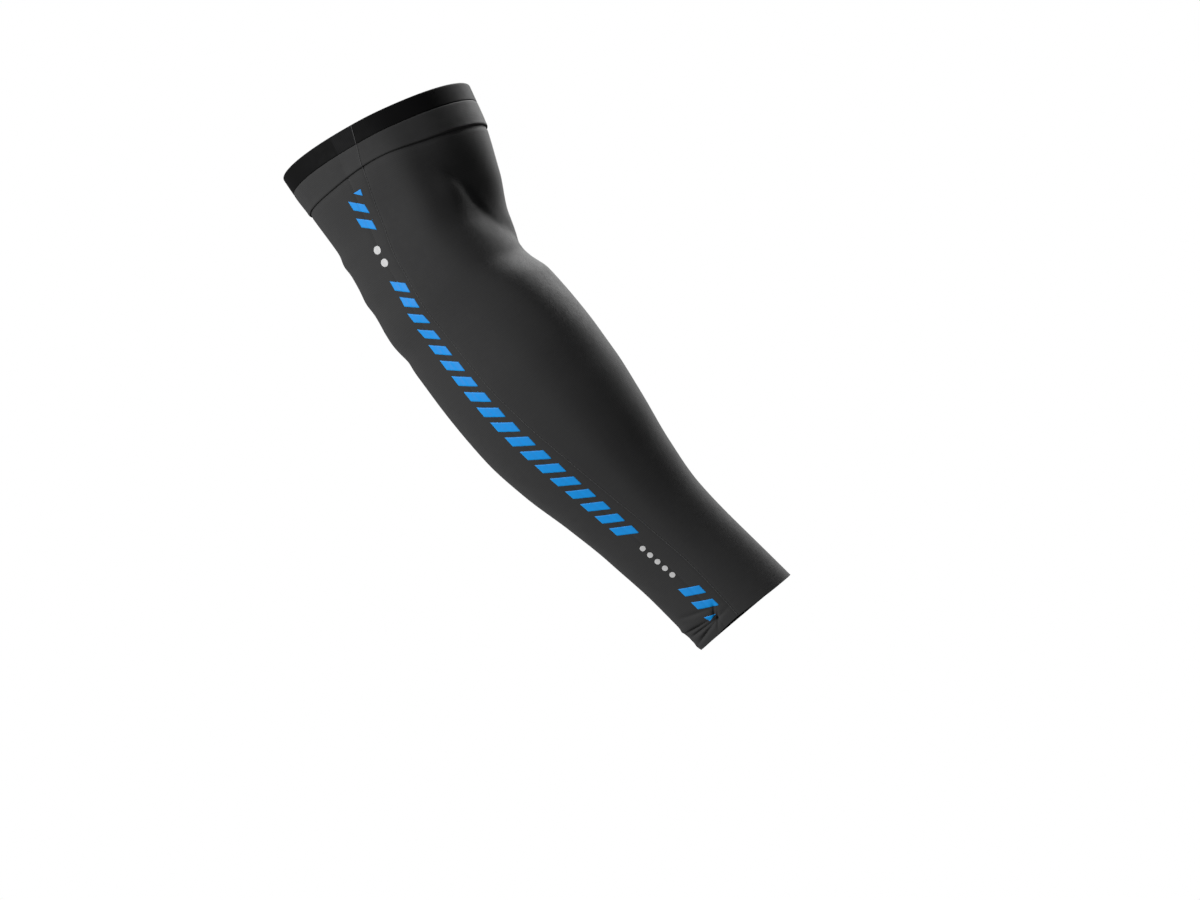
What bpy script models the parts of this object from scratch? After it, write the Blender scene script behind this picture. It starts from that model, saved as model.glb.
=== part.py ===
"""Knitted stretch arm sleeve, in the slightly bent form that it has when worn.

The origin is the centre of the top opening and the sleeve reaches down from it along -Z. +X is the
front, where the inside of the bend is, and -Y is the outer side, which carries the side panel.
An angle round the sleeve is counted from the outer side towards the front, and a place along it
is its distance from the top edge, measured down the centreline. All lengths are in metres.
"""

from collections import namedtuple
import math

import bpy
import numpy as np

# Rings round the sleeve, outside the cloth: front to back, then side to side
TOP_WIDTH = 0.1170
TOP_DEPTH = 0.1000
FOREARM_WIDTH = 0.0972
FOREARM_DEPTH = 0.0840
WRIST_WIDTH = 0.0650
WRIST_DEPTH = 0.0460

# Lengths down the centreline, and the bend between them in degrees
UPPER_LENGTH = 0.0985
FOREARM_LENGTH = 0.2450
ELBOW_BEND = 15.0

# Bands at the top opening
GRIPPER_HEIGHT = 0.0112
CUFF_HEIGHT = 0.0152
GRIPPER_WALL = 0.0016
CUFF_WALL = 0.0020
CUFF_PROUD = 0.0008
GRIPPER_PROUD = 0.0004

# Cloth, the strip that is let into it, and the slits that stand for the seams
CLOTH_WALL = 0.0012
STRIP_WIDTH = 0.0100
SEAM_GAP = 0.0003

# The deepest crease, of which the table of folds takes shares
FOLD_DEPTH = 0.0032

# How finely the cloth is faceted
MAIN_COLUMNS = 41
STRIP_COLUMNS = 2
CLOTH_ROWS = 48
BAND_COLUMNS = 44

SLEEVE_LENGTH = UPPER_LENGTH + FOREARM_LENGTH
CUFF_SEAM = GRIPPER_HEIGHT + CUFF_HEIGHT

# Width and depth of each ring, by the name that the table of sections uses
RINGS = {
    "top": (TOP_WIDTH, TOP_DEPTH),
    "forearm": (FOREARM_WIDTH, FOREARM_DEPTH),
    "wrist": (WRIST_WIDTH, WRIST_DEPTH),
}

# Start and length of each stretch of the sleeve
STRETCHES = {
    "upper": (0.0, UPPER_LENGTH),
    "lower": (UPPER_LENGTH, FOREARM_LENGTH),
}

# One row for each section. along is a share of its stretch, wide and deep are shares of its ring,
# front is how far its centre lies ahead of the straight line as a share of the ring's width, lean is
# a share of ELBOW_BEND, seam is the front seam's angle and strip a share of STRIP_WIDTH.
Section = namedtuple("Section", "stretch along ring wide deep front lean seam strip")
SECTIONS = (
    Section("upper", 0.00, "top", 1.000, 1.00, 0.000, 0.00, -9.0, 1.40),
    Section("upper", 0.14, "top", 0.978, 0.99, 0.005, 0.00, -15.5, 1.20),
    Section("upper", 0.27, "top", 0.948, 0.98, 0.011, 0.00, -19.0, 1.08),
    Section("upper", 0.52, "top", 0.875, 0.91, 0.009, 0.00, -24.8, 0.92),
    Section("upper", 0.77, "top", 0.810, 0.86, -0.011, 0.00, -25.3, 0.76),
    Section("upper", 1.00, "top", 0.786, 0.84, -0.010, 0.25, -25.2, 0.70),
    Section("lower", 0.09, "forearm", 0.985, 1.00, -0.012, 0.52, -26.4, 0.84),
    Section("lower", 0.23, "forearm", 1.006, 1.00, -0.033, 0.75, -25.6, 0.95),
    Section("lower", 0.35, "forearm", 0.984, 0.93, -0.052, 0.89, -20.8, 1.00),
    Section("lower", 0.47, "forearm", 0.901, 0.84, -0.062, 0.95, -16.4, 1.00),
    Section("lower", 0.59, "forearm", 0.778, 0.73, -0.062, 1.00, -11.8, 1.00),
    Section("lower", 0.71, "wrist", 1.034, 1.15, -0.085, 1.00, -6.6, 1.00),
    Section("lower", 0.84, "wrist", 0.994, 1.03, -0.052, 1.00, -4.4, 1.00),
    Section("lower", 0.96, "wrist", 1.000, 1.00, -0.027, 0.94, -6.0, 1.00),
    Section("lower", 1.00, "wrist", 1.000, 1.00, -0.018, 0.87, -7.3, 1.00),
)

# One row for each fold. angle is where its middle lies, reach and breadth are its half length and
# half breadth as shares of the ring's width, slant is its turn from lying along the sleeve (0)
# to lying round it (90), and height is a share of FOLD_DEPTH, below zero for a hollow.
Fold = namedtuple("Fold", "stretch along ring angle reach breadth slant height")
FOLDS = (
    Fold("upper", 0.66, "top", 54.0, 0.30, 0.050, 33.0, 0.45),
    Fold("upper", 0.60, "top", 70.0, 0.22, 0.085, 33.0, -0.75),
    Fold("upper", 0.97, "top", 74.0, 0.15, 0.042, 47.0, -1.00),
    Fold("upper", 0.97, "top", 112.0, 0.16, 0.042, -47.0, -1.00),
    Fold("upper", 0.62, "top", 128.0, 0.24, 0.060, -33.0, 0.35),
    Fold("lower", 0.07, "forearm", 84.0, 0.26, 0.110, 90.0, 0.45),
    Fold("upper", 0.61, "top", -86.0, 0.17, 0.040, 90.0, 0.35),
    Fold("upper", 0.83, "top", -86.0, 0.17, 0.040, 90.0, 0.35),
    Fold("lower", 0.04, "forearm", -86.0, 0.20, 0.045, 90.0, 0.28),
    Fold("lower", 0.09, "forearm", -84.0, 0.18, 0.040, 90.0, -0.30),
    Fold("lower", 0.915, "wrist", -56.0, 0.15, 0.034, 68.0, -0.25),
    Fold("lower", 0.945, "wrist", -62.0, 0.17, 0.034, 90.0, -0.32),
    Fold("lower", 0.975, "wrist", -60.0, 0.17, 0.034, -68.0, -0.28),
)

# One row for each place where the cloth's rows of facets crowd together, which its creases need
Crowd = namedtuple("Crowd", "stretch along reach more")
CROWDS = (
    Crowd("upper", 0.95, 0.20, 1.0),
    Crowd("lower", 0.96, 0.09, 1.6),
)

# How far a band stands proud at shares of its own height, so that its edges are rounded
Crown = namedtuple("Crown", "along rise")
CROWNS = (
    Crown(0.00, 0.2),
    Crown(0.10, 0.8),
    Crown(0.50, 1.0),
    Crown(0.90, 1.0),
    Crown(1.00, 0.6),
)

# Colour, roughness and how metallic each finish is
FINISHES = {
    "gripper": ((0.006, 0.006, 0.007, 1.0), 0.55, 0.0),
    "cuff": ((0.030, 0.030, 0.031, 1.0), 0.80, 0.0),
    "cloth": ((0.036, 0.036, 0.037, 1.0), 0.85, 0.0),
    "strip": ((0.042, 0.042, 0.043, 1.0), 0.85, 0.0),
}


def clear_scene():
    """Remove whatever the scene holds."""
    for thing in list(bpy.data.objects):
        bpy.data.objects.remove(thing, do_unlink=True)


def new_collection(name):
    """A collection for the sleeve's pieces, linked to the scene."""
    group = bpy.data.collections.new(name)
    bpy.context.scene.collection.children.link(group)
    return group


def new_material(name):
    """A Principled material of the named finish."""
    colour, roughness, metallic = FINISHES[name]
    made = bpy.data.materials.new(name)
    made.use_nodes = True
    shader = made.node_tree.nodes["Principled BSDF"]
    shader.inputs["Base Color"].default_value = colour
    shader.inputs["Roughness"].default_value = roughness
    shader.inputs["Metallic"].default_value = metallic
    return made


def place_along(row):
    """Distance from the top edge of a row of any table that has a stretch and an along column."""
    start, length = STRETCHES[row.stretch]
    return start + row.along * length


def centre_of(section):
    """Front and height of a section's centre: down the upper stretch, then down the bent one."""
    bend = math.radians(ELBOW_BEND)
    ahead = section.front * RINGS[section.ring][0]
    reach = section.along * STRETCHES[section.stretch][1]
    if section.stretch == "upper":
        return ahead, -reach
    front = reach * math.sin(bend) + ahead * math.cos(bend)
    height = -UPPER_LENGTH - reach * math.cos(bend) + ahead * math.sin(bend)
    return front, height


def section_columns():
    """The table of sections as real sizes, one array for each column."""
    centres = [centre_of(section) for section in SECTIONS]
    return {
        "place": np.array([place_along(section) for section in SECTIONS]),
        "front": np.array([front for front, height in centres]),
        "height": np.array([height for front, height in centres]),
        "wide": np.array([s.wide * RINGS[s.ring][0] / 2 for s in SECTIONS]),
        "deep": np.array([s.deep * RINGS[s.ring][1] / 2 for s in SECTIONS]),
        "lean": np.radians([s.lean * ELBOW_BEND for s in SECTIONS]),
        "seam": np.radians([s.seam for s in SECTIONS]),
        "strip": np.array([s.strip * STRIP_WIDTH for s in SECTIONS]),
    }


COLUMNS = section_columns()


def column_at(name, place):
    """A column of the sections at any place: a smooth curve that never swings past its points."""
    known, values = COLUMNS["place"], COLUMNS[name]
    step = np.diff(known)
    slope = np.diff(values) / step
    inner = np.zeros(len(slope) - 1)
    turning = slope[:-1] * slope[1:] > 0
    before, after = slope[:-1][turning], slope[1:][turning]
    inner[turning] = 2 * before * after / (before + after)
    tangent = np.concatenate([slope[:1], inner, slope[-1:]])
    index = np.clip(np.searchsorted(known, place, side="right") - 1, 0, len(step) - 1)
    width = step[index]
    t = (place - known[index]) / width
    start = values[index] * (1 + 2 * t) * (1 - t) ** 2
    end = values[index + 1] * (3 - 2 * t) * t**2
    bend = t * (1 - t) * width
    return start + end + bend * (tangent[index] * (1 - t) - tangent[index + 1] * t)


def fold_height(place, angle):
    """How far the folds lift the cloth: each is a long bell across and along its own line."""
    total = np.zeros(np.broadcast(place, angle).shape)
    for fold in FOLDS:
        width = RINGS[fold.ring][0]
        turn = (angle - math.radians(fold.angle) + math.pi) % (2 * math.pi) - math.pi
        down = place - place_along(fold)
        around = turn * width / 2
        slant = math.radians(fold.slant)
        lengthwise = (down * math.cos(slant) + around * math.sin(slant)) / (fold.reach * width)
        crosswise = (around * math.cos(slant) - down * math.sin(slant)) / (fold.breadth * width)
        total += fold.height * FOLD_DEPTH * np.exp(-(lengthwise**2) - crosswise**2)
    return total


def on_sleeve(place, angle, proud=0.0):
    """Points of the outer face: a leaning oval round the centre, pushed out by folds and proud."""
    wide, deep = column_at("wide", place), column_at("deep", place)
    lean = column_at("lean", place)
    normal_front, normal_side = np.sin(angle) / wide, np.cos(angle) / deep
    size = np.hypot(normal_front, normal_side)
    lift = fold_height(place, angle) + proud
    ahead = wide * np.sin(angle) + lift * normal_front / size
    side = deep * np.cos(angle) + lift * normal_side / size
    x = column_at("front", place) + ahead * np.cos(lean)
    z = column_at("height", place) + ahead * np.sin(lean)
    return np.stack([x, -side, z], axis=-1)


def arc_rate(place, angle):
    """Length of cloth round the sleeve for each radian."""
    wide, deep = column_at("wide", place), column_at("deep", place)
    return np.hypot(wide * np.cos(angle), deep * np.sin(angle))


def front_seam(place):
    """Angle of the strip's front seam."""
    return column_at("seam", place)


def back_seam(place):
    """Angle of the strip's back seam, the strip's width behind the front one."""
    front = front_seam(place)
    return front - column_at("strip", place) / arc_rate(place, front)


def cloth_places():
    """Where the cloth's rows of facets lie, from the cuff's seam to the lower edge, closer at creases."""
    fine = np.linspace(CUFF_SEAM + SEAM_GAP, SLEEVE_LENGTH, 2000)
    weight = np.ones_like(fine)
    for crowd in CROWDS:
        reach = crowd.reach * STRETCHES[crowd.stretch][1]
        weight += crowd.more * np.exp(-(((fine - place_along(crowd)) / reach) ** 2))
    passed = np.concatenate([[0.0], np.cumsum((weight[:-1] + weight[1:]) / 2)])
    return np.interp(np.linspace(0, passed[-1], CLOTH_ROWS + 1), passed, fine)


def grid_faces(rows, columns, closed):
    """Quads of a grid of points, facing out, joined round the end when it is closed."""
    spans = columns if closed else columns - 1
    row, column = np.meshgrid(np.arange(rows - 1), np.arange(spans), indexing="ij")
    after = (column + 1) % columns
    corners = [row * columns + column, (row + 1) * columns + column]
    corners += [(row + 1) * columns + after, row * columns + after]
    return np.stack(corners, axis=-1).reshape(-1, 4)


def cloth_object(name, points, closed, wall, finish, group):
    """A piece of cloth: the open outer face as a grid, given its wall on the inside."""
    rows, columns = points.shape[:2]
    mesh = bpy.data.meshes.new(name)
    faces = grid_faces(rows, columns, closed)
    mesh.from_pydata(points.reshape(-1, 3).tolist(), [], faces.tolist())
    mesh.materials.append(new_material(finish))
    mesh.shade_smooth()
    piece = bpy.data.objects.new(name, mesh)
    group.objects.link(piece)
    solid = piece.modifiers.new("wall", "SOLIDIFY")
    solid.thickness = wall
    solid.offset = -1.0
    solid.use_even_offset = True
    solid.use_quality_normals = True
    return piece


def panel_points(first, last, columns):
    """Grid of a panel between two seams, given as angles down the sleeve."""
    place = cloth_places()[:, None]
    share = np.linspace(0, 1, columns + 1)[None, :]
    return on_sleeve(place, first(place) + (last(place) - first(place)) * share)


def seam_slit(place, angle):
    """Half of a seam's slit, as an angle."""
    return SEAM_GAP / 2 / arc_rate(place, angle)


def make_side_panel(group):
    """The narrow strip let into the outer side, between its two seams."""

    def first(place):
        return back_seam(place) + seam_slit(place, back_seam(place))

    def last(place):
        return front_seam(place) - seam_slit(place, front_seam(place))

    points = panel_points(first, last, STRIP_COLUMNS)
    return cloth_object("side_panel", points, False, CLOTH_WALL, "strip", group)


def make_main_panel(group):
    """The large panel, from the strip's front seam round the front and inside to its back seam."""

    def first(place):
        return front_seam(place) + seam_slit(place, front_seam(place))

    def last(place):
        return back_seam(place) - seam_slit(place, back_seam(place)) + 2 * math.pi

    points = panel_points(first, last, MAIN_COLUMNS)
    return cloth_object("main_panel", points, False, CLOTH_WALL, "cloth", group)


def make_band(name, top, height, proud, wall, finish, group):
    """A closed band round the sleeve, crowned so that both of its edges are rounded."""
    place = np.array([top + crown.along * height for crown in CROWNS])[:, None]
    rise = np.array([crown.rise * proud for crown in CROWNS])[:, None]
    angle = np.linspace(0, 2 * math.pi, BAND_COLUMNS, endpoint=False)[None, :]
    points = on_sleeve(place, angle, rise)
    return cloth_object(name, points, True, wall, finish, group)


def make_gripper_band(group):
    """The smooth elastic ring that holds the sleeve up."""
    height = GRIPPER_HEIGHT - SEAM_GAP
    return make_band(
        "gripper_band", 0.0, height, GRIPPER_PROUD, GRIPPER_WALL, "gripper", group
    )


def make_cuff_band(group):
    """The doubled hem under the gripper, whose lower edge stands out as a lip."""
    return make_band(
        "cuff_band", GRIPPER_HEIGHT, CUFF_HEIGHT, CUFF_PROUD, CUFF_WALL, "cuff", group
    )


def make_sleeve():
    """Build every piece into one collection."""
    clear_scene()
    group = new_collection("arm_sleeve")
    make_gripper_band(group)
    make_cuff_band(group)
    make_main_panel(group)
    make_side_panel(group)


make_sleeve()
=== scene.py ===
"""Knitted stretch sleeve in its worn, slightly bent form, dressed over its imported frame.

The origin is the centre of the top opening and the sleeve reaches down from it along -Z. +X is the
front, where the inside of the bend is, and -Y is the outer side, which carries the narrow strip.
An angle round the sleeve is counted from the outer side towards the front, and a place along it is
its distance from the top edge, measured down the centreline. Lengths are in metres, except where a
comment above a table says mm.
"""

import math
from collections import namedtuple

import bpy
import numpy as np
from mathutils import Matrix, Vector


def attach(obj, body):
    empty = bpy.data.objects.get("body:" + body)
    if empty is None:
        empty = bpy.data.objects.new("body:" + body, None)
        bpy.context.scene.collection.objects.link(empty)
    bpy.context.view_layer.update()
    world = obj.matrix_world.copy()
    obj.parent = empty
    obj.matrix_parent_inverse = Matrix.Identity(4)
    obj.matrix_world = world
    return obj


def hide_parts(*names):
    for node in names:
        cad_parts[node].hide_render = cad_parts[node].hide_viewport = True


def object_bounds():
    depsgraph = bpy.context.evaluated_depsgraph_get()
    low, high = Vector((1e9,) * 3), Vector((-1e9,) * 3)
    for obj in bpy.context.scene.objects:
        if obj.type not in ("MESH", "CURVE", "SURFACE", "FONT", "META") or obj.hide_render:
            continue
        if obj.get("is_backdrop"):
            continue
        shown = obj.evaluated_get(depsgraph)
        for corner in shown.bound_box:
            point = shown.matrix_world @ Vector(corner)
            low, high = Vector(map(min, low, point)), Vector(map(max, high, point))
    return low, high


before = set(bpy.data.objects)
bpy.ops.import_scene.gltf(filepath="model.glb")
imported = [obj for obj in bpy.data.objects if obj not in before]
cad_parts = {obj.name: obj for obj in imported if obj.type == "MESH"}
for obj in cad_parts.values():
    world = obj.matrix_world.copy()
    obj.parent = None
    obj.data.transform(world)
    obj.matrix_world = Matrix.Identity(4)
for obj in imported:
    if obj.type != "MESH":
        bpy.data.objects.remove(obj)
cad_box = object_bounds()

# Camera. A long lens stands on the outer side, a little below the middle of the sleeve and looking
# slightly up at it. It is rolled, so that the sleeve runs down the picture from upper left to lower
# right.
LENS = 85.0
AIM = np.array([0.0310, 0.0, -0.2177])
DISTANCE = 1.586
TILT = math.radians(4.0)
ROLL = math.radians(27.03)

forward = np.array([0.0, math.cos(TILT), math.sin(TILT)])
level = np.array([1.0, 0.0, 0.0])
over = np.array([0.0, -math.sin(TILT), math.cos(TILT)])
right = level * math.cos(ROLL) - over * math.sin(ROLL)
above = level * math.sin(ROLL) + over * math.cos(ROLL)
placing = np.eye(4)
placing[:3] = np.stack([right, above, -forward, AIM - forward * DISTANCE], axis=-1)

camera = bpy.data.objects.new("camera", bpy.data.cameras.new("camera"))
bpy.context.collection.objects.link(camera)
camera.data.lens = LENS
camera.data.clip_start = 0.05
camera.matrix_world = Matrix(placing.tolist())
bpy.context.scene.camera = camera

# Main panel. The large piece of knitted stretch cloth round the front, the inner side and the back.
# It is cut flat and sewn to the strip along both of its long edges, and it is stretched when worn,
# which creases it inside its bend, behind the bend and at its lower end.

# Width of each ring from front to back, and from side to side
RINGS = {
    "top": (0.1170, 0.1000),
    "swell": (0.0972, 0.0840),
    "end": (0.0650, 0.0460),
}
UPPER_LENGTH = 0.0985
LOWER_LENGTH = 0.2450
# Start and length of each stretch of the sleeve
STRETCHES = {
    "upper": (0.0, UPPER_LENGTH),
    "lower": (UPPER_LENGTH, LOWER_LENGTH),
}
SLEEVE_LENGTH = UPPER_LENGTH + LOWER_LENGTH
BEND_ANGLE = 15.0
STRIP_WIDTH = 0.0100

# How far the seams and the cuff's stitches draw the cloth in, and over what reach
SEAM_GAP = 0.00004
SEAM_SINK = 0.00022
SEAM_REACH = 0.0009
HEM_SINK = 0.0006
HEM_REACH = 0.0010

# Where the cloth starts under the cuff, its wall, how finely it is drawn, and how far it crowds at
# the seams: 0 for even columns, 1 for columns that meet there
CUFF_SEAM = 0.0257
UNDER_CUFF = 0.0010
CLOTH_WALL = 0.0012
CLOTH_ROWS = 238
MAIN_COLUMNS = 188
SEAM_CROWD = 0.72

# The cut edges are rounded by this share of the wall
EDGE_ROUND = 0.3

# along is a share of its stretch, wide and deep are shares of its ring, front is how far the centre
# lies ahead as a share of the ring's width, lean is a share of BEND_ANGLE, seam is the front seam's
# angle in degrees and strip is a share of STRIP_WIDTH.
Section = namedtuple("Section", "stretch along ring wide deep front lean seam strip")
SECTIONS = (
    Section("upper", 0.00, "top", 1.000, 1.00, 0.000, 0.00, -9.3, 1.40),
    Section("upper", 0.14, "top", 0.978, 0.99, 0.005, 0.00, -12.9, 1.20),
    Section("upper", 0.27, "top", 0.948, 0.98, 0.011, 0.00, -16.4, 1.08),
    Section("upper", 0.52, "top", 0.875, 0.91, 0.009, 0.00, -22.2, 0.92),
    Section("upper", 0.77, "top", 0.810, 0.86, -0.011, 0.00, -24.5, 0.76),
    Section("upper", 1.00, "top", 0.786, 0.84, -0.010, 0.25, -24.2, 0.70),
    Section("lower", 0.09, "swell", 0.985, 0.985, -0.012, 0.52, -25.9, 0.84),
    Section("lower", 0.23, "swell", 1.006, 1.00, -0.033, 0.75, -25.2, 0.95),
    Section("lower", 0.35, "swell", 0.984, 0.945, -0.052, 0.89, -21.4, 1.00),
    Section("lower", 0.47, "swell", 0.901, 0.85, -0.062, 0.95, -17.0, 1.00),
    Section("lower", 0.59, "swell", 0.778, 0.73, -0.062, 1.00, -12.9, 1.00),
    Section("lower", 0.71, "end", 1.034, 1.15, -0.085, 1.00, -7.6, 1.00),
    Section("lower", 0.84, "end", 0.994, 1.03, -0.052, 1.00, -5.1, 1.00),
    Section("lower", 0.96, "end", 1.000, 1.00, -0.027, 0.94, -6.8, 1.00),
    Section("lower", 1.00, "end", 1.000, 1.00, -0.018, 0.87, -8.0, 1.00),
)

# place is in mm and angle in degrees, at the middle of the fold. reach is its half length in mm,
# slant its turn from lying along the sleeve (0) to lying round it (90), behind and ahead its half
# breadths in mm on either side of its line, and height is in mm, below zero for a hollow. edge is 2
# for a rounded fold and nearer to 1 for one with a sharp line.
Fold = namedtuple("Fold", "place angle reach slant behind ahead height edge")
FOLDS = (
    # the soft corners down the outer front, above the bend and below it
    Fold(42.0, 4.0, 38.0, 3.0, 12.0, 11.0, 2.8, 2.0),
    Fold(114.0, 28.0, 42.0, 22.0, 14.0, 18.0, 3.4, 2.0),
    Fold(225.0, 6.0, 85.0, 0.0, 9.0, 11.0, 1.3, 2.0),
    # inside the bend: a hollow with a sharp crease down it, and the notch at its end
    Fold(63.0, 45.0, 24.0, 38.0, 13.0, 20.0, -5.0, 2.0),
    Fold(55.0, 30.0, 14.0, 37.0, 9.0, 6.0, 2.0, 2.0),
    Fold(62.0, 45.0, 18.0, 37.0, 4.0, 2.5, -0.8, 1.8),
    Fold(86.0, 76.0, 16.0, 58.0, 12.0, 8.0, -1.0, 2.0),
    Fold(92.0, 86.0, 16.0, 55.0, 6.0, 6.0, -0.7, 2.0),
    Fold(92.0, 112.0, 19.0, -47.0, 5.0, 5.0, -2.8, 2.0),
    Fold(61.0, 128.0, 28.0, -33.0, 7.0, 7.0, 1.1, 2.0),
    # behind the bend
    Fold(60.0, -86.0, 20.0, 90.0, 4.7, 4.7, 1.1, 2.0),
    Fold(84.0, -86.0, 20.0, 90.0, 4.7, 6.0, 1.0, 2.0),
    Fold(108.0, -86.0, 19.0, 90.0, 4.4, 4.4, 0.3, 2.0),
    Fold(119.0, -84.0, 18.0, 90.0, 3.9, 3.9, -0.7, 2.0),
    # the gathered back of the lower end
    Fold(331.8, -56.0, 10.5, 82.0, 0.9, 1.1, -2.0, 1.4),
    Fold(334.6, -52.0, 11.0, 87.0, 0.9, 1.1, -2.1, 1.4),
    Fold(337.9, -50.0, 12.0, 100.0, 0.9, 1.1, -1.9, 1.4),
    Fold(324.6, -46.0, 11.0, 70.0, 1.2, 1.4, -1.0, 1.6),
    Fold(331.2, -22.5, 4.0, -40.0, 0.8, 0.9, -1.3, 1.5),
    Fold(335.6, -25.5, 5.0, -42.0, 0.8, 0.9, -1.4, 1.5),
    Fold(328.6, -82.0, 8.0, 88.0, 2.0, 2.0, 0.8, 2.0),
    Fold(340.6, -78.0, 8.0, 90.0, 2.0, 2.0, 0.8, 2.0),
)

# Where the strip's seams draw up the cuff's lower edge and the sleeve's own: place and angle of the
# middle, by how many mm, and how far it fades along the sleeve in mm and round it in degrees
Draw = namedtuple("Draw", "place angle up along around")
DRAWS = (
    Draw(25.7, -10.0, 2.6, 8.0, 25.0),
    Draw(343.5, -12.0, 1.6, 12.0, 30.0),
)

# Where the cloth's rows lie closer, as its creases need: place and reach in metres, and how many
# more rows there are in the middle, as a share of the usual number
Crowd = namedtuple("Crowd", "place reach more")
CROWDS = (
    Crowd(0.072, 0.030, 0.6),
    Crowd(0.333, 0.010, 3.4),
)
FINE_STEPS = 3000


def centre_of(section):
    """Front and height of a section's centre: down the upper stretch, then down the bent one."""
    bend = math.radians(BEND_ANGLE)
    start, length = STRETCHES[section.stretch]
    ahead = section.front * RINGS[section.ring][0]
    reach = section.along * length
    if section.stretch == "upper":
        return ahead, -reach
    front = reach * math.sin(bend) + ahead * math.cos(bend)
    height = -UPPER_LENGTH - reach * math.cos(bend) + ahead * math.sin(bend)
    return front, height


def section_columns():
    """The table of sections as real sizes, one array for each column."""
    centres = [centre_of(section) for section in SECTIONS]
    starts = [STRETCHES[s.stretch] for s in SECTIONS]
    return {
        "place": np.array([a + s.along * b for s, (a, b) in zip(SECTIONS, starts)]),
        "front": np.array([front for front, height in centres]),
        "height": np.array([height for front, height in centres]),
        "wide": np.array([s.wide * RINGS[s.ring][0] / 2 for s in SECTIONS]),
        "deep": np.array([s.deep * RINGS[s.ring][1] / 2 for s in SECTIONS]),
        "lean": np.radians([s.lean * BEND_ANGLE for s in SECTIONS]),
        "seam": np.radians([s.seam for s in SECTIONS]),
        "strip": np.array([s.strip * STRIP_WIDTH for s in SECTIONS]),
    }


COLUMNS = section_columns()


def column_at(name, place):
    """A column of the sections at any place: a cubic between neighbours that keeps their slopes'
    harmonic mean, so that it never swings past its points."""
    known, values = COLUMNS["place"], COLUMNS[name]
    step = np.diff(known)
    slope = np.diff(values) / step
    inner = np.zeros(len(slope) - 1)
    turning = slope[:-1] * slope[1:] > 0
    before, after = slope[:-1][turning], slope[1:][turning]
    inner[turning] = 2 * before * after / (before + after)
    tangent = np.concatenate([slope[:1], inner, slope[-1:]])
    index = np.clip(np.searchsorted(known, place, side="right") - 1, 0, len(step) - 1)
    width = step[index]
    t = (place - known[index]) / width
    start = values[index] * (1 + 2 * t) * (1 - t) ** 2
    end = values[index + 1] * (3 - 2 * t) * t**2
    bend = t * (1 - t) * width
    return start + end + bend * (tangent[index] * (1 - t) - tangent[index + 1] * t)


def arc_rate(place, angle):
    """Length of cloth round the sleeve for each radian: the pace along an oval."""
    wide, deep = column_at("wide", place), column_at("deep", place)
    return np.hypot(wide * np.cos(angle), deep * np.sin(angle))


def fold_height(place, angle):
    """Lift of the cloth by its folds: each is height * exp(-lengthwise^2 - crosswise^edge), counted
    in the fold's reach along its line and in the breadth of the point's own side across it."""
    total = np.zeros(np.broadcast(place, angle).shape)
    for fold in FOLDS:
        turn = (angle - math.radians(fold.angle) + math.pi) % (2 * math.pi) - math.pi
        rate = arc_rate(np.array([fold.place / 1000]), math.radians(fold.angle))[0]
        down = place * 1000 - fold.place
        around = turn * rate * 1000
        slant = math.radians(fold.slant)
        lengthwise = (down * math.cos(slant) + around * math.sin(slant)) / fold.reach
        crosswise = around * math.cos(slant) - down * math.sin(slant)
        crosswise = np.abs(crosswise) / np.where(crosswise < 0, fold.behind, fold.ahead)
        total += fold.height / 1000 * np.exp(-(lengthwise**2) - crosswise**fold.edge)
    return total


def drawn_up(place, angle):
    """The place at which a point of the cloth ends up: a bell along and round from each draw."""
    total = place
    for draw in DRAWS:
        along = (place * 1000 - draw.place) / draw.along
        around = (np.degrees(angle) - draw.angle + 180) % 360 - 180
        total = total - draw.up / 1000 * np.exp(-(along**2) - (around / draw.around) ** 2)
    return total


def on_sleeve(place, angle, proud=0.0):
    """Points of the outer face: a leaning oval round the centre, pushed out by folds and proud."""
    place = drawn_up(place, angle)
    wide, deep = column_at("wide", place), column_at("deep", place)
    lean = column_at("lean", place)
    normal_front, normal_side = np.sin(angle) / wide, np.cos(angle) / deep
    size = np.hypot(normal_front, normal_side)
    lift = fold_height(place, angle) + proud
    ahead = wide * np.sin(angle) + lift * normal_front / size
    side = deep * np.cos(angle) + lift * normal_side / size
    x = column_at("front", place) + ahead * np.cos(lean)
    z = column_at("height", place) + ahead * np.sin(lean)
    return np.stack([x, -side, z], axis=-1)


def front_seam(place):
    """Angle of the strip's front seam."""
    return column_at("seam", place)


def back_seam(place):
    """Angle of the strip's back seam, the strip's width behind the front one."""
    front = front_seam(place)
    return front - column_at("strip", place) / arc_rate(place, front)


def cloth_places():
    """Where the cloth's rows lie, from under the cuff to the lower edge: even steps of the summed
    weight, which is 1 and a bell more at each place where they crowd."""
    fine = np.linspace(CUFF_SEAM - UNDER_CUFF, SLEEVE_LENGTH, FINE_STEPS)
    weight = np.ones(FINE_STEPS)
    for crowd in CROWDS:
        weight += crowd.more * np.exp(-(((fine - crowd.place) / crowd.reach) ** 2))
    passed = np.concatenate([[0.0], np.cumsum((weight[:-1] + weight[1:]) / 2)])
    return np.interp(np.linspace(0, passed[-1], CLOTH_ROWS + 1), passed, fine)


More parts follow.
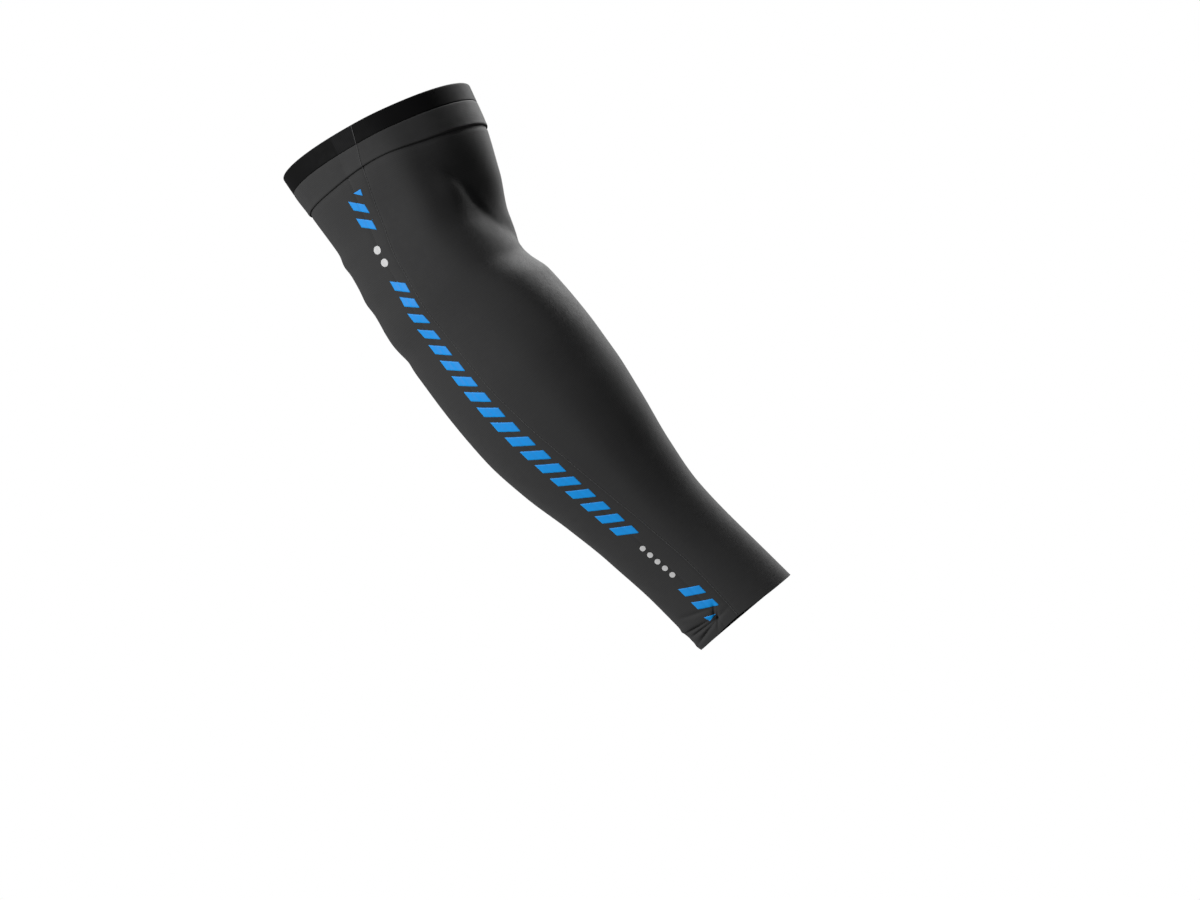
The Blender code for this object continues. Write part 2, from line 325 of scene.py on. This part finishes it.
def grid_mesh(name, points, maps, wrap=(False, False), capped=False):
    """A mesh of one grid of points, or of several at once. Each face takes a point, the one below
    it, the one below and beyond, and the one beyond, so that rows down and columns towards the
    front face outwards. A capped tube gets one face at each end."""
    points = points.reshape((-1,) + points.shape[-3:])
    grids, rows, columns = points.shape[:3]
    last = (rows - 1 + wrap[0], columns - 1 + wrap[1])
    grid, row, column = np.meshgrid(np.arange(grids), *map(np.arange, last), indexing="ij")
    steps = ((0, 0), (1, 0), (1, 1), (0, 1))
    corners = [
        (grid * rows + (row + a) % rows) * columns + (column + b) % columns for a, b in steps
    ]
    faces = np.stack(corners, axis=-1).reshape(-1, 4).tolist()
    if capped:
        ring = list(range(columns))
        faces += [ring, [columns * (rows - 1) + point for point in ring[::-1]]]
    mesh = bpy.data.meshes.new(name)
    mesh.from_pydata(points.reshape(-1, 3).tolist(), [], faces)
    for map_name, values in maps.items():
        values = values.reshape((-1,) + values.shape[-3:])
        spread = [values[grid, row + a, column + b] for a, b in steps]
        spread = np.stack(spread, axis=-2).reshape(-1, 2)
        spread = np.concatenate([spread, np.zeros((len(mesh.loops) - len(spread), 2))])
        layer = mesh.uv_layers.new(name=map_name)
        layer.data.foreach_set("uv", spread.astype(np.float32).ravel())
    mesh.shade_smooth()
    piece = bpy.data.objects.new(name, mesh)
    bpy.context.collection.objects.link(piece)
    return piece


def cut_map(place, points, middle):
    """Where each point lies on the flat cloth, in metres: its distance round from the middle
    column, and its distance from the top edge."""
    steps = np.linalg.norm(np.diff(points, axis=1), axis=-1)
    around = np.concatenate([np.zeros_like(steps[:, :1]), np.cumsum(steps, axis=1)], axis=1)
    around = around - around[:, middle : middle + 1]
    return np.stack([around, np.broadcast_to(place, around.shape)], axis=-1)


def give_wall(piece, wall):
    """Thicken the open cloth inwards and round the cut edges."""
    solid = piece.modifiers.new("wall", "SOLIDIFY")
    solid.thickness = wall
    solid.offset = -1.0
    solid.use_even_offset = True
    solid.use_quality_normals = True
    edge = piece.modifiers.new("edge", "BEVEL")
    edge.width = wall * EDGE_ROUND
    edge.segments = 2
    edge.limit_method = "ANGLE"
    edge.angle_limit = math.radians(60)
    edge.harden_normals = True
    return piece


def make_panel(name, first, last, columns):
    """A panel between two seams, given as angles down the sleeve. Its columns crowd towards the
    seams, where the cloth is drawn in by a bell of SEAM_SINK over SEAM_REACH, and a bell of HEM_SINK
    over HEM_REACH presses a groove for the stitches under the cuff's lip."""
    place = cloth_places()[:, None]
    even = np.linspace(0, 1, columns + 1)[None, :]
    share = even - SEAM_CROWD * np.sin(2 * math.pi * even) / (2 * math.pi)
    slit = SEAM_GAP / 2 / arc_rate(place, first(place))
    start, end = first(place) + slit, last(place) - slit
    angle = start + (end - start) * share
    rate = arc_rate(place, angle)
    sink = np.exp(-(((angle - start) * rate / SEAM_REACH) ** 2))
    sink += np.exp(-(((end - angle) * rate / SEAM_REACH) ** 2))
    groove = HEM_SINK * np.exp(-(((place - CUFF_SEAM) / HEM_REACH) ** 2))
    points = on_sleeve(place, angle, -SEAM_SINK * sink - groove)
    return grid_mesh(name, points, {"cut": cut_map(place, points, columns // 2)})


# The knit: its colour, the width and height of one stitch, and how sharply a lighter strip ends
CLOTH_COLOUR = (0.0400, 0.0400, 0.0408)
WALE = 0.00088
COURSE = 0.00092
STRIP_FADE = 14


class Value:
    """A socket of a material, so that shader maths is written as plain sums."""

    def __init__(self, tree, socket=None):
        self.tree = tree
        self.socket = socket

    def node(self, kind, settings, values, output=0):
        """A node of any type: its settings come first, then its sockets' values or links."""
        made = self.tree.nodes.new(kind)
        count = len(self.tree.nodes)
        made.location = (-240 * (count % 9) - 300, 260 - 190 * (count // 9))
        for name, setting in settings.items():
            setattr(made, name, setting)
        for name, value in values.items():
            if isinstance(value, Value):
                self.tree.links.new(value.socket, made.inputs[name])
            else:
                made.inputs[name].default_value = value
        return Value(self.tree, made.outputs[output])

    def maths(self, operation, *parts):
        """A Math node on values and numbers."""
        return self.node("ShaderNodeMath", {"operation": operation}, dict(enumerate(parts)))

    def __add__(self, other):
        return self.maths("ADD", self, other)

    def __sub__(self, other):
        return self.maths("SUBTRACT", self, other)

    def __rsub__(self, other):
        return self.maths("SUBTRACT", other, self)

    def __mul__(self, other):
        return self.maths("MULTIPLY", self, other)

    def __truediv__(self, other):
        return self.maths("DIVIDE", self, other)

    __radd__ = __add__
    __rmul__ = __mul__

    def blend(self, low, high):
        """A colour between low and high, by this value."""
        return self.node("ShaderNodeMix", {"data_type": "RGBA"}, {0: self, 6: low, 7: high}, 2)

    def times(self, tone):
        """This colour times a number, through a grey, because a Math node would lose its hue."""
        grey = self.node("ShaderNodeCombineColor", {}, {"Red": tone, "Green": tone, "Blue": tone})
        settings = {"data_type": "RGBA", "blend_type": "MULTIPLY"}
        return self.node("ShaderNodeMix", settings, {0: 1.0, 6: self, 7: grey}, 2)

    def noise(self, where, scale, detail):
        """Smooth noise from 0 to 1, with scale cells to the metre."""
        values = {"Vector": where, "Scale": scale, "Detail": detail}
        return self.node("ShaderNodeTexNoise", {"noise_dimensions": "3D"}, values)

    def mottle(self, scale):
        """Smooth noise on the piece itself."""
        return self.noise(self.node("ShaderNodeTexCoord", {}, {}, 3), scale, 3.0)

    def bump(self, strength, distance):
        """The normal that this height from 0 to 1 gives, at distance metres from low to high."""
        values = {"Strength": strength, "Distance": distance, "Height": self}
        return self.node("ShaderNodeBump", {}, values)


def new_finish(name, roughness, sheen, sheen_roughness, specular):
    """A Principled material: the material, its shader and a value that its nodes grow from."""
    material = bpy.data.materials.new(name)
    material.use_nodes = True
    shader = material.node_tree.nodes["Principled BSDF"]
    shader.inputs["Roughness"].default_value = roughness
    shader.inputs["Sheen Weight"].default_value = sheen
    shader.inputs["Sheen Roughness"].default_value = sheen_roughness
    shader.inputs["Specular IOR Level"].default_value = specular
    shader.inputs["Diffuse Roughness"].default_value = 1.0
    return material, shader, Value(material.node_tree)


def connect(shader, **values):
    """Link values to the shader's sockets, named with _ for a space."""
    for name, value in values.items():
        value.tree.links.new(value.socket, shader.inputs[name.replace("_", " ")])


def shaded(colour, times, most=1.0):
    """A colour times a number, no channel above most, and opaque."""
    return tuple(min(channel * times, most) for channel in colour) + (1.0,)


def cut_place(start, map_name="cut"):
    """The two coordinates of one of the cloth's maps."""
    spot = start.node("ShaderNodeUVMap", {"uv_map": map_name}, {})
    return [start.node("ShaderNodeSeparateXYZ", {}, {"Vector": spot}, i) for i in (0, 1)]


def knit_height(start):
    """Height of the stitches, 0 to 1. A wale has two legs with an arch over each, and a wave along
    it whose crests climb up the legs, which gives rows of small V-shaped stitches."""
    around, along = cut_place(start)
    leg = start.maths("PINGPONG", around / WALE, 0.5) * 2
    arch = leg * (1 - leg) * 4
    wave = start.maths("SINE", (along / COURSE + leg * 0.7) * (2 * math.pi)) * 0.5 + 0.5
    return arch * (wave * 0.6 + 0.4)


def knit(name, colour, strip=None):
    """Knitted cloth: stitches in relief, with painted shade darkening the gaps between the yarns,
    slightly mottled and with faint bars along its courses. Where strip is given, it is that much
    lighter between the seams."""
    material, shader, start = new_finish(
        name, roughness=0.82, sheen=0.05, sheen_roughness=0.45, specular=0.42
    )
    stitch = knit_height(start)
    mottle = start.mottle(190.0)
    course_line = start.node("ShaderNodeCombineXYZ", {}, {"Y": cut_place(start)[1]})
    bars = start.noise(course_line, 900.0, 1.0)
    tone = 0.80 + mottle * 0.26 + bars * 0.14
    # painted shade: the low places of the stitches, between the yarns, get the darker colour
    made = stitch.blend(shaded(colour, 0.52), shaded(colour, 1.12)).times(tone)
    if strip:
        made = strip_lighter(start, made, strip)
    bump = (stitch + mottle * 0.5).bump(0.55, 0.00007)
    connect(shader, Base_Color=made, Roughness=0.74 + mottle * 0.16, Normal=bump)
    return material


def strip_lighter(start, colour, times):
    """The colour made times lighter between the seams: 1 inside the map's 0 to 1, with soft ends
    that rise over a STRIP_FADE-th of the strip's width."""
    share = cut_place(start, "strip")[0]
    front_end, back_end = (1 - share) * STRIP_FADE + 0.5, share * STRIP_FADE + 0.5
    inside = start.maths("MINIMUM", back_end, front_end)
    inside = start.maths("MINIMUM", start.maths("MAXIMUM", inside, 0.0), 1.0)
    return colour.times(inside * (times - 1) + 1)


def put_on(piece, material, slot, *nodes):
    """Give a piece its material, hang it on the root body and hide the imported parts that it stands
    for; slot is not used.
    """
    piece.data.materials.append(material)
    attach(piece, "root")
    if nodes:
        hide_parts(*nodes)


def after_back_seam(place):
    """The back seam's angle, counted on from the front seam round the sleeve."""
    return back_seam(place) + 2 * math.pi


main_panel = make_panel("main_panel_cloth", front_seam, after_back_seam, MAIN_COLUMNS)
give_wall(main_panel, CLOTH_WALL)
put_on(main_panel, knit("main_knit", CLOTH_COLOUR), "cloth", "main_panel")

# Side strip. A narrow band of the same knit, a shade lighter, let into the outer side between the
# two long seams. Its edges are drawn in where the seams hold them.
STRIP_COLUMNS = 22
STRIP_COLOUR = (0.0432, 0.0432, 0.0440)

side_strip = make_panel("side_panel_cloth", back_seam, front_seam, STRIP_COLUMNS)
give_wall(side_strip, CLOTH_WALL)
put_on(side_strip, knit("strip_knit", STRIP_COLOUR), "strip", "side_panel")

# Cuff. The doubled hem of the knit under the top edge. Its folded lower edge stands out as a lip
# over the line of stitches that holds it down.
BAND_COLUMNS = 320
LOOP_POINTS = 84
CUFF_TOP = 0.0109
CUFF_STRIP_TONE = 1.20
ROUNDINGS = 2
MEAN_TURN = 0.7

# The outline of the cuff's cut face: mm below its top edge, and mm proud of the cloth
CUFF_LOOP = (
    (0.0, 0.40), (0.20, 0.52), (2.0, 0.58), (7.0, 0.60), (12.0, 0.62), (13.6, 0.74),
    (14.3, 0.78), (14.65, 0.62), (14.8, 0.25), (14.8, -0.40), (14.4, -0.95), (13.2, -1.20),
    (7.0, -1.20), (0.8, -1.20), (0.10, -0.90), (0.0, -0.20),
)


def round_loop(corners, count):
    """A closed outline through the corners: even steps along it, then each point averaged with
    its neighbours ROUNDINGS times, which rounds the corners."""
    loop = np.array(corners + corners[:1]) / 1000
    passed = np.concatenate([[0.0], np.cumsum(np.linalg.norm(np.diff(loop, axis=0), axis=1))])
    steps = np.linspace(0, passed[-1], count, endpoint=False)
    made = np.stack([np.interp(steps, passed, loop[:, i]) for i in (0, 1)], axis=-1)
    for _ in range(ROUNDINGS):
        made = made / 2 + np.roll(made, 1, axis=0) / 4 + np.roll(made, -1, axis=0) / 4
    return made


def make_band(name, top, corners):
    """A closed band: its outline carried round the sleeve, starting on the inner side. Its maps
    are the place on the flat cloth, at the pace round the sleeve that it has MEAN_TURN radians on,
    and the share of the way from the back seam to the front."""
    loop = round_loop(corners, LOOP_POINTS)
    place = np.clip(top + loop[:, :1], 0.0, None)
    turn = np.linspace(-math.pi, math.pi, BAND_COLUMNS + 1)[None, :]
    angle = np.broadcast_to(turn, (LOOP_POINTS, BAND_COLUMNS + 1))
    points = on_sleeve(place, angle, loop[:, 1:])
    across = np.cumsum(np.linalg.norm(np.roll(loop, -1, axis=0) - loop, axis=1))
    across = np.concatenate([[0.0], across])[:, None]
    around = turn * arc_rate(np.array([[top]]), MEAN_TURN)
    cut = np.stack(np.broadcast_arrays(around, across), axis=-1)
    back, front = back_seam(place), front_seam(place)
    share = (angle - back) / (front - back)
    share = np.concatenate([share, share[:1]])
    strip = np.stack([share, np.zeros_like(share)], axis=-1)
    return grid_mesh(name, points[:, :-1], {"cut": cut, "strip": strip}, (True, True))


cuff = make_band("cuff_hem", CUFF_TOP, CUFF_LOOP)
put_on(cuff, knit("cuff_knit", CLOTH_COLOUR, strip=CUFF_STRIP_TONE), "cuff", "cuff_band")

# Gripper. The smooth near-black elastic along the top edge, woven with fine ribs that run down it,
# which holds the sleeve up. It meets the cuff edge to edge.
GRIPPER_COLOUR = (0.0042, 0.0042, 0.0045)
GRIPPER_STRIP_TONE = 2.6
RIB = 0.0011
PICK = 0.0006

# The outline of the gripper's cut face: mm below the top edge, and mm proud of the cloth
GRIPPER_LOOP = (
    (0.10, 0.12), (0.40, 0.38), (1.20, 0.44), (5.0, 0.46), (10.5, 0.48), (10.89, 0.44),
    (10.92, 0.0), (10.90, -0.9), (10.5, -1.15), (5.0, -1.20), (1.20, -1.20), (0.40, -1.10),
    (0.05, -0.80), (0.0, -0.35),
)


def elastic(name, colour):
    """Ribbed elastic: an arch over each rib, crossed by fine picks that shift from rib to rib, with
    painted shade darkening the low parts of the relief.
    """
    material, shader, start = new_finish(
        name, roughness=0.75, sheen=0.03, sheen_roughness=0.4, specular=0.12
    )
    around, along = cut_place(start)
    rib = start.maths("PINGPONG", around / RIB, 0.5) * 2
    pick = start.maths("SINE", (along / PICK + rib * 0.5) * (2 * math.pi)) * 0.5 + 0.5
    relief = start.maths("SINE", rib * (math.pi / 2)) * (pick * 0.35 + 0.65)
    mottle = start.mottle(260.0)
    # painted shade: the low places between the ribs and picks get the darker colour
    made = relief.blend(shaded(colour, 0.6), shaded(colour, 1.1))
    made = strip_lighter(start, made, GRIPPER_STRIP_TONE)
    bump = relief.bump(0.5, 0.00006)
    connect(shader, Base_Color=made, Roughness=0.66 + mottle * 0.18, Normal=bump)
    return material


gripper = make_band("gripper_elastic", 0.0, GRIPPER_LOOP)
put_on(gripper, elastic("gripper_elastic", GRIPPER_COLOUR), "gripper", "gripper_band")

# Seam threads. Polyester thread in the two long seams and under the cuff's lip. In the front seam it
# shows as a fine raised line from the top edge to the bottom one. The back seam's thread lies deep
# between the two edges of cloth, and the cuff's lies in the shadow of its lip. The cuff's thread
# is a real hem thread, but its near-black colour is painted shade that deepens the lip's dark line.
# The front seam's thread is lighter than the cloth: partly its own tone, partly a painted highlight
# for the seam's bright line
THREAD_COLOUR_WITH_HIGHLIGHT = (0.056, 0.056, 0.058)
PAINTED_SHADE_THREAD_COLOUR = (0.007, 0.007, 0.007)
TWIST = 0.0005
THREAD_SIDES = 8
THREAD_STEPS = 1700

# Between two stitches a thread is this much sunk and this full, as shares of its radius
THREAD_SUNK = 0.6
THREAD_WAIST = 0.8

# How far the seams' threads end short of the sleeve's edges, and how far under the cuff's lip the
# front one comes down to the cloth and the stitches run
THREAD_END = 0.0004
LIP_DROP = 0.0003
HEM_DROP = 0.0002

# radius, length of a stitch and how proud of the cloth or band the thread's middle lies, in metres
Thread = namedtuple("Thread", "radius stitch proud")
FRONT_THREAD = Thread(0.00024, 0.0021, 0.00006)
BACK_THREAD = Thread(0.00028, 0.0021, -0.00062)
CUFF_THREAD = Thread(0.00034, 0.0016, -0.0007)


def band_rise(place):
    """How far the bands stand proud of the cloth at a place, from the outlines of their faces."""
    gripper_face = np.array(GRIPPER_LOOP[:6]) / 1000
    cuff_face = np.array(CUFF_LOOP[:9]) / 1000 + [CUFF_TOP, 0.0]
    face = np.concatenate([gripper_face, cuff_face, [[CUFF_SEAM + LIP_DROP, -SEAM_SINK]]])
    return np.interp(place, face[:, 0], face[:, 1])


def thread_mesh(name, thread, place, angle, rise=0.0, closed=False):
    """A thread along a line on the sleeve: a round profile carried along it, fuller in the middle
    of each stitch (the root of |sin|) and sunk where the needle went through."""
    radius, stitch, proud = thread.radius, thread.stitch, thread.proud + rise
    middle = on_sleeve(place, angle, proud)
    outward = on_sleeve(place, angle, proud + 0.001) - middle
    outward = outward / np.linalg.norm(outward, axis=-1, keepdims=True)
    ahead = np.roll(middle, -1, axis=0) - np.roll(middle, 1, axis=0)
    if not closed:
        ahead[0], ahead[-1] = middle[1] - middle[0], middle[-1] - middle[-2]
    ahead = ahead / np.linalg.norm(ahead, axis=-1, keepdims=True)
    beside = np.cross(outward, ahead)
    ends = np.concatenate([middle, middle[:1]]) if closed else middle
    passed = np.concatenate([[0.0], np.cumsum(np.linalg.norm(np.diff(ends, axis=0), axis=1))])
    count = round(passed[-1] / stitch)
    swell = np.abs(np.sin(math.pi * passed / passed[-1] * count)) ** 0.5
    swell = swell[: len(middle), None, None]
    turn = np.linspace(0, 2 * math.pi, THREAD_SIDES + 1)[None, :, None]
    ring = np.cos(turn[:, :-1]) * outward[:, None] + np.sin(turn[:, :-1]) * beside[:, None]
    sunk = THREAD_SUNK * radius * (swell - 1) * outward[:, None]
    full = THREAD_WAIST + (1 - THREAD_WAIST) * swell
    points = middle[:, None] + sunk + radius * full * ring
    twist = np.stack(np.broadcast_arrays(turn[..., 0], passed[:, None]), axis=-1)
    return grid_mesh(name, points, {"cut": twist}, (closed, True), not closed)


def spun(name, colour):
    """Twisted thread: a slanted wave round and along it, with painted shade between its plies."""
    material, shader, start = new_finish(
        name, roughness=0.62, sheen=0.3, sheen_roughness=0.4, specular=0.5
    )
    around, along = cut_place(start)
    twist = start.maths("SINE", around + along * (2 * math.pi / TWIST)) * 0.5 + 0.5
    # painted shade: the grooves between the plies get the darker colour
    made = twist.blend(shaded(colour, 0.6), shaded(colour, 1.1))
    bump = twist.bump(0.5, 0.00005)
    connect(shader, Base_Color=made, Roughness=0.55 + twist * 0.1, Normal=bump)
    return material


seam_places = np.linspace(THREAD_END, SLEEVE_LENGTH - THREAD_END, THREAD_STEPS)
# painted highlight: the front seam's thread is coloured lighter than the cloth
front_thread = thread_mesh(
    "front_seam_thread", FRONT_THREAD, seam_places, front_seam(seam_places), band_rise(seam_places)
)
put_on(front_thread, spun("seam_thread_with_highlight", THREAD_COLOUR_WITH_HIGHLIGHT), "thread")

back_places = seam_places[seam_places > CUFF_SEAM + 2 * LIP_DROP]
back_thread = thread_mesh("back_seam_thread", BACK_THREAD, back_places, back_seam(back_places))
put_on(back_thread, spun("back_thread", CLOTH_COLOUR), "thread")

hem_places = np.full(THREAD_STEPS, CUFF_SEAM + HEM_DROP)
hem_turn = np.linspace(-math.pi, math.pi, THREAD_STEPS, endpoint=False)
hem_thread = thread_mesh("cuff_stitches", CUFF_THREAD, hem_places, hem_turn, closed=True)
# painted shade: the cuff's thread is near-black, which darkens the shadow line under the lip
put_on(hem_thread, spun("cuff_thread_painted_shade", PAINTED_SHADE_THREAD_COLOUR), "thread")

# Printed stripe. A row of slanted bars of light blue transfer film, pressed on over the back seam,
# with a cut-off corner of a bar at either end. The film is thin and lets the knit show in relief.
BLUE = (0.0050, 0.3700, 0.8800)
FILM_PROUD = 0.00009
FILM_WALL = 0.00012
BAR_GRID = (9, 23)
END_TURN = 0.045

# place is in mm and angle in degrees, at the middle of the bar. across is its width round the
# sleeve, drop how much lower its front end lies, and along its height down the sleeve, all in mm.
Bar = namedtuple("Bar", "place angle across drop along")
BARS = (
    Bar(41.1, -31.4, 7.8, 5.9, 5.4),
    Bar(50.8, -33.0, 7.9, 5.5, 5.7),
    Bar(89.1, -32.7, 8.1, 5.1, 5.4),
    Bar(98.4, -32.2, 7.9, 5.1, 5.5),
    Bar(107.8, -33.6, 7.5, 5.3, 5.6),
    Bar(117.3, -35.7, 7.6, 5.7, 5.8),
    Bar(127.3, -36.6, 8.4, 6.3, 6.0),
    Bar(137.7, -36.5, 9.2, 6.9, 6.2),
    Bar(148.2, -36.2, 9.8, 7.2, 6.3),
    Bar(158.9, -35.8, 10.2, 7.6, 6.3),
    Bar(169.7, -35.2, 10.7, 7.8, 6.4),
    Bar(180.6, -34.0, 11.0, 8.1, 6.5),
    Bar(191.7, -32.8, 11.1, 8.2, 6.5),
    Bar(202.7, -31.7, 11.0, 8.2, 6.4),
    Bar(213.4, -30.7, 10.9, 8.1, 6.3),
    Bar(224.1, -30.0, 10.7, 7.9, 6.2),
    Bar(234.6, -29.4, 10.6, 7.7, 6.1),
    Bar(245.0, -28.8, 10.6, 7.5, 6.0),
    Bar(255.2, -27.9, 10.6, 7.4, 5.9),
    Bar(265.3, -26.9, 10.4, 7.2, 5.8),
    Bar(314.9, -23.5, 10.2, 6.2, 5.7),
    Bar(325.2, -23.6, 10.3, 6.4, 5.5),
)

# Place in mm and angle in degrees of the four corners of each cut-off end, of which two lie together
CORNERS = (
    ((33.6, -29.8), (33.6, -29.8), (37.0, -25.1), (33.8, -24.1)),
    ((330.4, -34.9), (334.4, -33.7), (334.4, -33.7), (333.8, -23.3)),
)


def film_mesh(name, place, angle, flat):
    """Film on the cloth: grids of places and angles, lifted by FILM_PROUD and drawn in with the
    back seam under them, then given a thickness that reaches down into the cloth."""
    off_seam = (angle - back_seam(place)) * arc_rate(place, angle)
    sink = SEAM_SINK * np.exp(-((off_seam / SEAM_REACH) ** 2))
    piece = grid_mesh(name, on_sleeve(place, angle, FILM_PROUD - sink), {"cut": flat})
    film = piece.modifiers.new("film", "SOLIDIFY")
    film.thickness = FILM_WALL
    film.offset = -1.0
    return piece


def film(name, colour, roughness):
    """Transfer film: flat colour with faint mottling, over the knit's relief."""
    material, shader, start = new_finish(
        name, roughness=roughness, sheen=0.0, sheen_roughness=0.5, specular=0.35
    )
    mottle = start.mottle(420.0)
    made = mottle.blend(shaded(colour, 0.93), shaded(colour, 1.05, 0.9))
    bump = (knit_height(start) * 0.5 + mottle).bump(0.3, 0.00005)
    connect(shader, Base_Color=made, Roughness=roughness - 0.08 + mottle * 0.16, Normal=bump)
    return material


def square_grid(rows, columns):
    """Shares from -1 to 1 down a square and across it."""
    return np.meshgrid(np.linspace(-1, 1, rows), np.linspace(-1, 1, columns), indexing="ij")


def bar_spots():
    """Places, angles and flat spots of the bars: the share down times half the bar's height, and
    the share across times half its width, which also goes down by the bar's drop."""
    down, side = square_grid(*BAR_GRID)
    place, angle, across, drop, along = np.array(BARS).T[:, :, None, None]
    flat = [side * across / 2000, down * along / 2000]
    angle = np.radians(angle)
    turned = angle + flat[0] / arc_rate(place / 1000, angle)
    return (place + side * drop / 2 + down * along / 2) / 1000, turned, np.stack(flat, axis=-1)


def end_spots():
    """The same of the cut-off ends: the four corners, each by its share of the square. END_TURN
    metres of cloth go to one radian."""
    down, side = square_grid(*BAR_GRID)
    corners = (np.array(CORNERS) * [0.001, math.pi / 180])[:, :, None, None]
    left, below = (1 - side[..., None]) / 2, (1 + down[..., None]) / 2
    spots = (corners[:, 0] * (1 - below) + corners[:, 1] * below) * left
    spots = spots + (corners[:, 3] * (1 - below) + corners[:, 2] * below) * (1 - left)
    place, angle = spots[..., 0], spots[..., 1]
    return place, angle, np.stack([angle * END_TURN, place], axis=-1)


stripe_spots = [np.concatenate(pair) for pair in zip(bar_spots(), end_spots())]
stripe = film_mesh("blue_bars", *stripe_spots)
put_on(stripe, film("blue_film", BLUE, 0.55), "print_blue")

# White dots. Two short rows of round white film in the gaps of the stripe, pressed on in the same
# way, the upper row of larger dots.
WHITE = (0.72, 0.72, 0.72)

# place and radius are in mm and angle is in degrees, at the middle of the dot.
Dot = namedtuple("Dot", "place angle radius")
DOTS = (
    Dot(66.1, -34.8, 2.3),
    Dot(74.1, -34.0, 2.3),
    Dot(279.4, -27.0, 1.6),
    Dot(284.8, -26.8, 1.6),
    Dot(290.2, -26.6, 1.6),
    Dot(295.6, -26.3, 1.6),
    Dot(301.0, -26.0, 1.6),
)

DOT_GRID = (17, 17)


def dot_spots():
    """Places, angles and flat spots of the dots. A square becomes a disc when each of its two
    shares is multiplied by the root of 1 - half the other one squared."""
    down, side = square_grid(*DOT_GRID)
    disc_down = down * np.sqrt(1 - side**2 / 2)
    disc_side = side * np.sqrt(1 - down**2 / 2)
    place, angle, radius = np.array(DOTS).T[:, :, None, None]
    flat = [disc_side * radius / 1000, disc_down * radius / 1000]
    angle = np.radians(angle)
    turned = angle + flat[0] / arc_rate(place / 1000, angle)
    return place / 1000 + flat[1], turned, np.stack(flat, axis=-1)


dots = film_mesh("white_dots", *dot_spots())
put_on(dots, film("white_film", WHITE, 0.50), "print_white")

# Studio. A wide pale floor far below, which fades to the white of the surroundings, one large soft
# lamp from the outer back side and one from the inner front side, and weak light from everywhere.
FLOOR_HEIGHT = -1.25
FLOOR_HALF = 14.0
FLOOR_FADE = (0.6, 3.2)
FLOOR_GLOW = 0.32
FLOOR_PAINT = 0.85
KEY = dict(turn=-48.0, lift=26.0, distance=1.7, size=0.7, power=32.0)
RIM = dict(turn=135.0, lift=38.0, distance=1.5, size=0.8, power=56.0)
SURROUND = 0.10


def add_lamp(name, turn, lift, distance, size, power):
    """A square area lamp that faces the sleeve's middle, turn degrees round from the outer side
    towards the front and lift degrees up."""
    lamp = bpy.data.lights.new(name, "AREA")
    lamp.size = size
    lamp.energy = power
    turn, lift = math.radians(turn), math.radians(lift)
    flat = math.cos(lift)
    back = np.array([math.sin(turn) * flat, -math.cos(turn) * flat, math.sin(lift)])
    beside = np.cross([0.0, 0.0, 1.0], back)
    beside = beside / np.linalg.norm(beside)
    stand = np.eye(4)
    stand[:3] = np.stack([beside, np.cross(back, beside), back, AIM + back * distance], axis=-1)
    holder = bpy.data.objects.new(name, lamp)
    bpy.context.collection.objects.link(holder)
    holder.matrix_world = Matrix(stand.tolist())


add_lamp("key", **KEY)
add_lamp("rim", **RIM)

corner = np.array([-FLOOR_HALF, FLOOR_HALF])
ground = np.stack(np.broadcast_arrays(corner[None, :], corner[::-1, None], FLOOR_HEIGHT), axis=-1)
floor = grid_mesh("floor", ground, {})
floor_paint, floor_shader, floor_start = new_finish(
    "floor_paint", roughness=0.9, sheen=0.0, sheen_roughness=0.5, specular=0.0
)
floor_spot = floor_start.node("ShaderNodeTexCoord", {}, {}, 3)
flat_spot = floor_start.node(
    "ShaderNodeVectorMath", {"operation": "MULTIPLY"}, {0: floor_spot, 1: (1.0, 1.0, 0.0)}
)
far = floor_start.node("ShaderNodeVectorMath", {"operation": "LENGTH"}, {0: flat_spot}, 1)
fade = floor_start.node(
    "ShaderNodeMapRange",
    {"interpolation_type": "SMOOTHSTEP"},
    {"Value": far, "From Min": FLOOR_FADE[0], "From Max": FLOOR_FADE[1]},
)
floor_shader.inputs["Emission Strength"].default_value = 1.0
plain = (1.0, 1.0, 1.0)
floor_light = fade.blend(shaded(plain, FLOOR_GLOW), shaded(plain, 1.0))
floor_colour = fade.blend(shaded(plain, FLOOR_PAINT), shaded(plain, 0.0))
connect(floor_shader, Base_Color=floor_colour, Emission_Color=floor_light)
floor.data.materials.append(floor_paint)
floor.visible_diffuse = False
floor.visible_glossy = False
floor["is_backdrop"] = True

surround = bpy.data.worlds.new("surround")
bpy.context.scene.world = surround
surround.use_nodes = True
sky = Value(surround.node_tree)
seen = sky.node("ShaderNodeLightPath", {}, {}, 0)
strength = seen * (1 - SURROUND) + SURROUND
backdrop = surround.node_tree.nodes["Background"]
backdrop.inputs["Color"].default_value = shaded(plain, 1.0)
surround.node_tree.links.new(strength.socket, backdrop.inputs["Strength"])

bpy.context.scene.view_settings.view_transform = "Standard"

visual_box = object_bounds()
boxes = {"cad": cad_box, "visual": visual_box}
boxes = {name: [list(corner) for corner in box] for name, box in boxes.items()}
